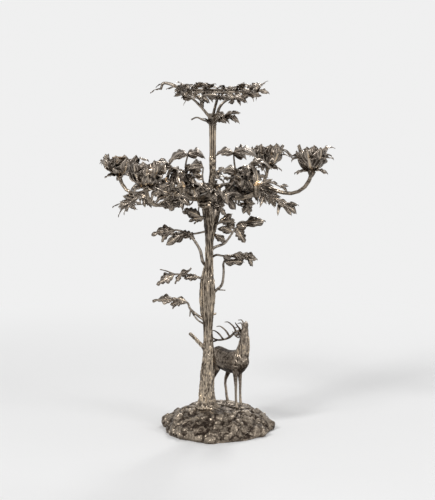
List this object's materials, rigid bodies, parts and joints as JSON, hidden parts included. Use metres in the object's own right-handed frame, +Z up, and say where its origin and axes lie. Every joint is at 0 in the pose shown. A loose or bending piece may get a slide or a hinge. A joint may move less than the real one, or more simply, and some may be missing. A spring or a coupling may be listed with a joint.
{
  "type": "table centerpiece",
  "caption": "Tree-shaped table centerpiece: a stag under a leafy trunk on a rocky mound, with lift-out candle arms and a lift-out dish basket on top.",
  "frame": {"origin": "on the table, under the middle of the bounding box of the whole part", "axes": "+Z up along the trunk; the picture looks along +Y, with +X to the right"},
  "size_m": [0.4142, 0.385, 0.621],
  "materials": {
    "cast_silver_plate": "aged silver plate on cast brass, dark tarnish in the hollows",
    "bark_silver_plate": "aged silver plate with a bark texture, worn to warm metal on the ridges",
    "leaf_silver_plate": "aged silver plate, satin, tarnished grey-brown",
    "worn_silver_plate": "silver plate worn thin over brass",
    "steel_hardware": "plain steel"
  },
  "bodies": {
    "tree": {"base_mound": "cast_silver_plate", "tie_rod": "steel_hardware", "tie_rod_washer": "steel_hardware", "tie_rod_nut": "steel_hardware", "stag_nut_front": "steel_hardware", "stag_nut_hind": "steel_hardware", "trunk": "bark_silver_plate", "trunk_spray_left_1": "leaf_silver_plate", "trunk_spray_left_2": "leaf_silver_plate", "trunk_spray_left_3": "leaf_silver_plate", "trunk_spray_left_4": "leaf_silver_plate", "trunk_spray_right_1": "leaf_silver_plate", "trunk_spray_right_2": "leaf_silver_plate", "trunk_spray_right_3": "leaf_silver_plate", "stag": "cast_silver_plate", "stag_antler_left": "cast_silver_plate", "stag_antler_right": "cast_silver_plate", "crown_collar": "cast_silver_plate", "crown_hub": "bark_silver_plate", "crown_branch_right": "bark_silver_plate", "crown_branch_back": "bark_silver_plate", "crown_branch_left": "bark_silver_plate", "crown_branch_front": "bark_silver_plate", "crown_spray_left_low": "leaf_silver_plate", "crown_spray_left_high": "leaf_silver_plate", "crown_spray_right_low": "leaf_silver_plate", "crown_spray_right_high": "leaf_silver_plate", "crown_spray_front": "leaf_silver_plate", "crown_spray_back": "leaf_silver_plate"},
    "arm_right": {"candle_arm_right": "bark_silver_plate", "arm_spray_right": "leaf_silver_plate", "drip_leaves_right": "leaf_silver_plate", "leaf_cup_right": "leaf_silver_plate", "candle_socket_right": "worn_silver_plate"},
    "arm_back": {"candle_arm_back": "bark_silver_plate", "arm_spray_back": "leaf_silver_plate", "drip_leaves_back": "leaf_silver_plate", "leaf_cup_back": "leaf_silver_plate", "candle_socket_back": "worn_silver_plate"},
    "arm_left": {"candle_arm_left": "bark_silver_plate", "arm_spray_left": "leaf_silver_plate", "drip_leaves_left": "leaf_silver_plate", "leaf_cup_left": "leaf_silver_plate", "candle_socket_left": "worn_silver_plate"},
    "arm_front": {"candle_arm_front": "bark_silver_plate", "arm_spray_front": "leaf_silver_plate", "drip_leaves_front": "leaf_silver_plate", "leaf_cup_front": "leaf_silver_plate", "candle_socket_front": "worn_silver_plate"},
    "top_basket": {"upper_stem": "bark_silver_plate", "basket_cup": "cast_silver_plate", "basket_ring": "cast_silver_plate", "basket_branch_left": "bark_silver_plate", "basket_branch_right": "bark_silver_plate", "basket_branch_front": "bark_silver_plate", "basket_branch_back": "bark_silver_plate", "basket_spray_left": "leaf_silver_plate", "basket_spray_right": "leaf_silver_plate", "basket_spray_front": "leaf_silver_plate", "basket_spray_back": "leaf_silver_plate"}
  },
  "joints": [
    {"name": "arm_right_lift", "type": "slide", "parent": "tree", "child": "arm_right", "axis": [0, 0, 1], "range_m": [0, 0.014]},
    {"name": "arm_back_lift", "type": "slide", "parent": "tree", "child": "arm_back", "axis": [0, 0, 1], "range_m": [0, 0.014]},
    {"name": "arm_left_lift", "type": "slide", "parent": "tree", "child": "arm_left", "axis": [0, 0, 1], "range_m": [0, 0.014]},
    {"name": "arm_front_lift", "type": "slide", "parent": "tree", "child": "arm_front", "axis": [0, 0, 1], "range_m": [0, 0.014]},
    {"name": "top_basket_lift", "type": "slide", "parent": "tree", "child": "top_basket", "axis": [0, 0, 1], "range_m": [0, 0.02]}
  ]
}
